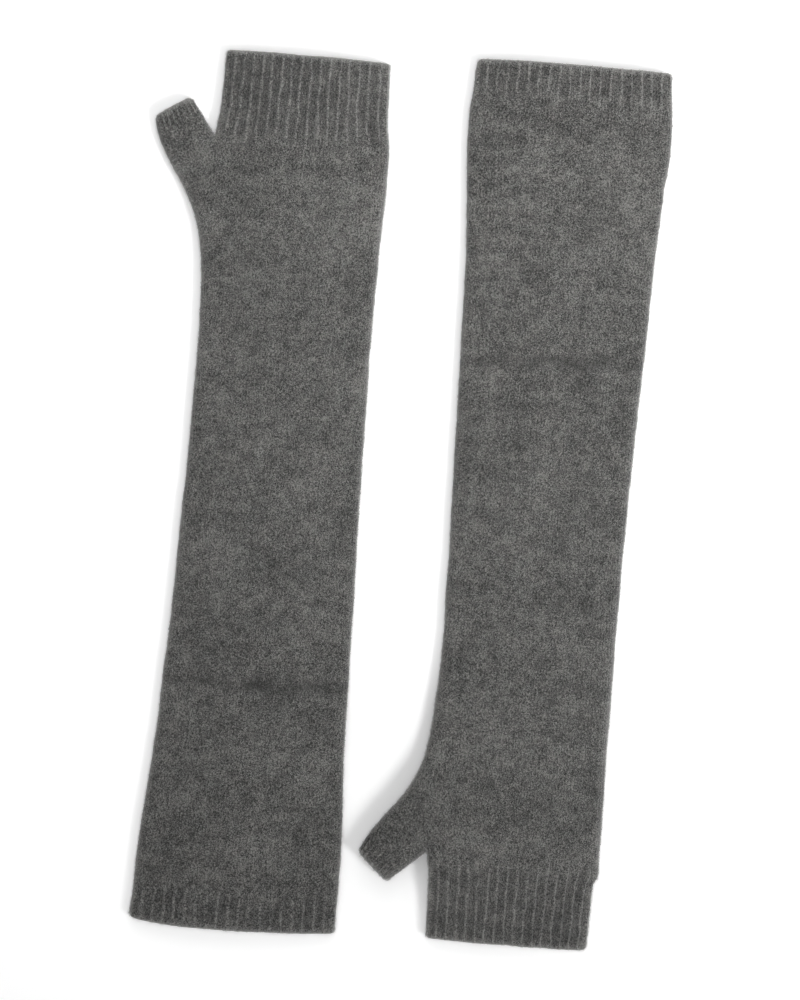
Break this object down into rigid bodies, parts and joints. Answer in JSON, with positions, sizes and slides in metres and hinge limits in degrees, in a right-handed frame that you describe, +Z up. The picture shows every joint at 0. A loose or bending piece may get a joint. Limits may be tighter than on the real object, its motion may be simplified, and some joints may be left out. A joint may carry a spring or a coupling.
{
  "type": "pair of long fingerless gloves",
  "caption": "Long knitted fingerless gloves laid flat: plain tapering sleeves, ribbed arm hems, ribbed finger cuffs that bend at the knuckles and short open thumbs.",
  "frame": {"origin": "on the surface that the pair lies on, under the middle of its box", "axes": "+Z up from that surface, +Y along the gloves towards the left glove's fingers, +X towards the right glove"},
  "size_m": [0.28, 0.4638, 0.0128],
  "materials": {
    "jersey": "brushed heather-grey fine jersey, matt and fuzzy",
    "rib": "heather-grey rib knit, matt and fuzzy",
    "seam": "linked seam ridge in the same yarn, matt"
  },
  "bodies": {
    "left_glove": {"left_sleeve": "jersey", "left_arm_rib": "rib", "left_side_seam": "seam"},
    "left_cuff": {"left_finger_rib": "rib", "left_cuff_seam": "seam"},
    "left_thumb": {"left_thumb_tube": "jersey", "left_thumb_rib": "rib", "left_thumb_seam": "seam"},
    "right_glove": {"right_sleeve": "jersey", "right_arm_rib": "rib", "right_side_seam": "seam"},
    "right_cuff": {"right_finger_rib": "rib", "right_cuff_seam": "seam"},
    "right_thumb": {"right_thumb_tube": "jersey", "right_thumb_rib": "rib", "right_thumb_seam": "seam"}
  },
  "joints": [
    {"name": "right_glove_lift", "type": "slide", "parent": "left_glove", "child": "right_glove", "axis": [0, 0, 1], "range_m": [0, 0.15]},
    {"name": "left_cuff_bend", "type": "hinge", "parent": "left_glove", "child": "left_cuff", "pos_m": [-0.05178, 0.1857, 0.01277], "axis": [0.9962, -0.0868, 0], "range_deg": [0, 75]},
    {"name": "left_thumb_bend", "type": "hinge", "parent": "left_glove", "child": "left_thumb", "pos_m": [-0.10712, 0.18082, 0.01293], "axis": [0.8615, 0.5078, 0], "range_deg": [0, 60]},
    {"name": "right_cuff_bend", "type": "hinge", "parent": "right_glove", "child": "right_cuff", "pos_m": [0.05762, -0.18552, 0.01277], "axis": [-0.9969, 0.0785, 0], "range_deg": [0, 75]},
    {"name": "right_thumb_bend", "type": "hinge", "parent": "right_glove", "child": "right_thumb", "pos_m": [0.00462, -0.16862, 0.01296], "axis": [-0.6088, 0.7934, 0], "range_deg": [0, 60]}
  ]
}
